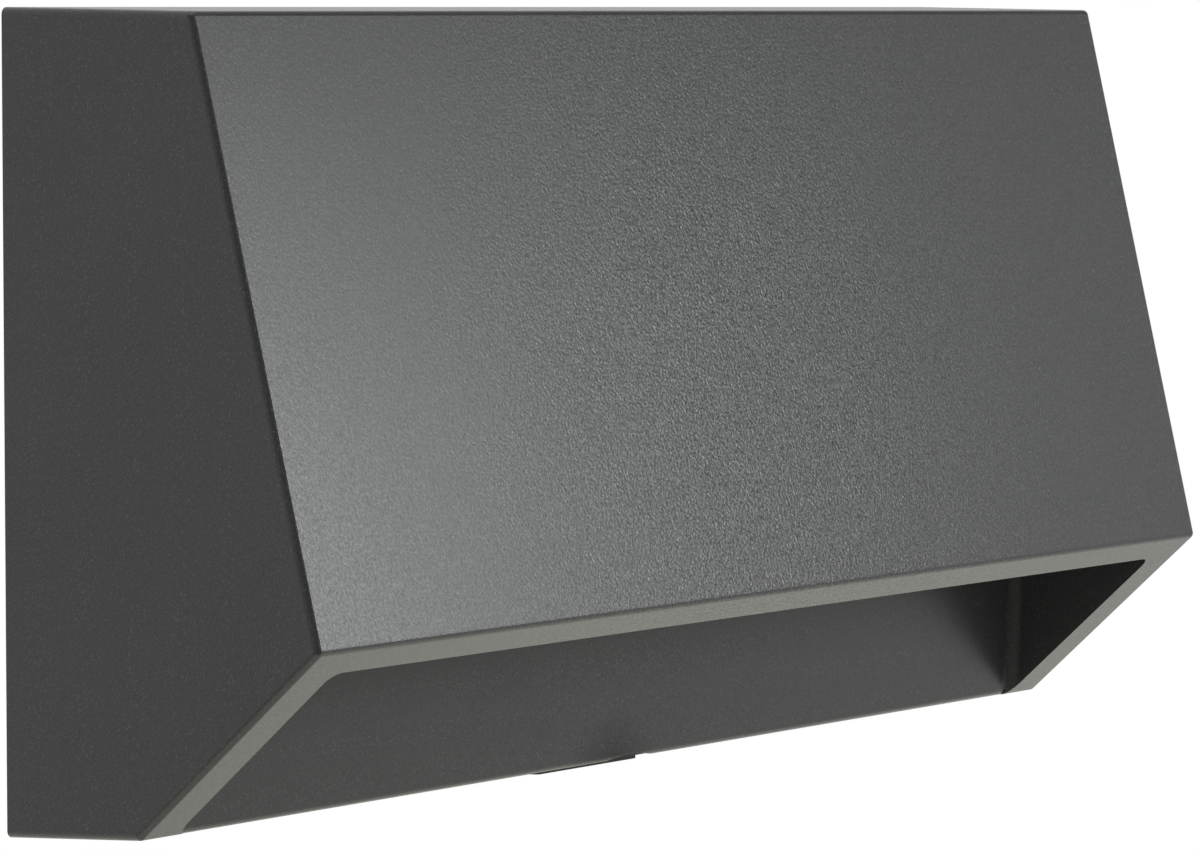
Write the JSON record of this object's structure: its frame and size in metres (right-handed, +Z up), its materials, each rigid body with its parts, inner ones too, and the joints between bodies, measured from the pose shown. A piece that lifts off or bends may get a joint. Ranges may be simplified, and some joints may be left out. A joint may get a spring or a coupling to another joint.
{
  "type": "outdoor wall light",
  "caption": "Wedge-shaped outdoor LED wall light in anthracite cast aluminium, shining down and forward through a slanted opening at its foot.",
  "frame": {"origin": "on the wall plane, midway between the two mounting slots", "axes": "+Z up, the front faces -Y, +Y points into the wall, +X to the right of someone who faces the light"},
  "size_m": [0.26, 0.0663, 0.1381],
  "materials": {
    "coated_casting": "die-cast aluminium with an anthracite fine-texture powder coat",
    "black_steel": "pressed sheet steel, black satin coat",
    "sponge_rubber": "closed-cell sponge, matt black",
    "stainless": "stainless steel, satin",
    "black_rubber": "moulded rubber, matt black",
    "terminal_plastic": "natural white moulded nylon",
    "terminal_brass": "plain turned and stamped brass",
    "zinc_steel": "bright zinc plating",
    "driver_plastic": "white moulded plastic, fine spark texture",
    "lid_plastic": "pale grey moulded plastic",
    "silicone_pad": "soft blue-grey silicone sheet",
    "board_enamel": "white solder resist on an aluminium board",
    "led_phosphor": "yellow phosphor, unlit",
    "reflector_white": "bright white moulded plastic",
    "silicone_seal": "translucent grey silicone",
    "opal_diffuser": "opal polycarbonate, satin lower face",
    "frame_plastic": "cast frame with an anthracite coat",
    "brown_insulation": "brown silicone insulation",
    "blue_insulation": "blue silicone insulation",
    "green_yellow_insulation": "green insulation with a yellow stripe",
    "red_insulation": "red silicone insulation",
    "black_insulation": "black silicone insulation"
  },
  "bodies": {
    "root": {"housing": "coated_casting", "wall_plate": "black_steel", "rear_gasket": "sponge_rubber", "locking_screw": "stainless", "cable_grommet": "black_rubber", "terminal_block": "terminal_plastic", "terminal_barrels": "terminal_brass", "terminal_screws": "zinc_steel", "terminal_fixing_screws": "zinc_steel", "earth_nut": "zinc_steel", "earth_washers": "zinc_steel", "earth_rings": "terminal_brass", "earth_screw": "zinc_steel", "driver_case": "driver_plastic", "driver_lid": "lid_plastic", "driver_screws": "zinc_steel", "lead_grommet": "black_rubber", "thermal_pad": "silicone_pad", "led_board": "board_enamel", "leds": "led_phosphor", "led_board_screws": "zinc_steel", "reflector": "reflector_white", "diffuser_gasket": "silicone_seal", "diffuser": "opal_diffuser", "diffuser_frame": "frame_plastic", "frame_screws": "stainless", "live_lead": "brown_insulation", "neutral_lead": "blue_insulation", "plate_earth_lead": "green_yellow_insulation", "housing_earth_lead": "green_yellow_insulation", "led_lead_positive": "red_insulation", "led_lead_negative": "black_insulation"}
  },
  "joints": []
}
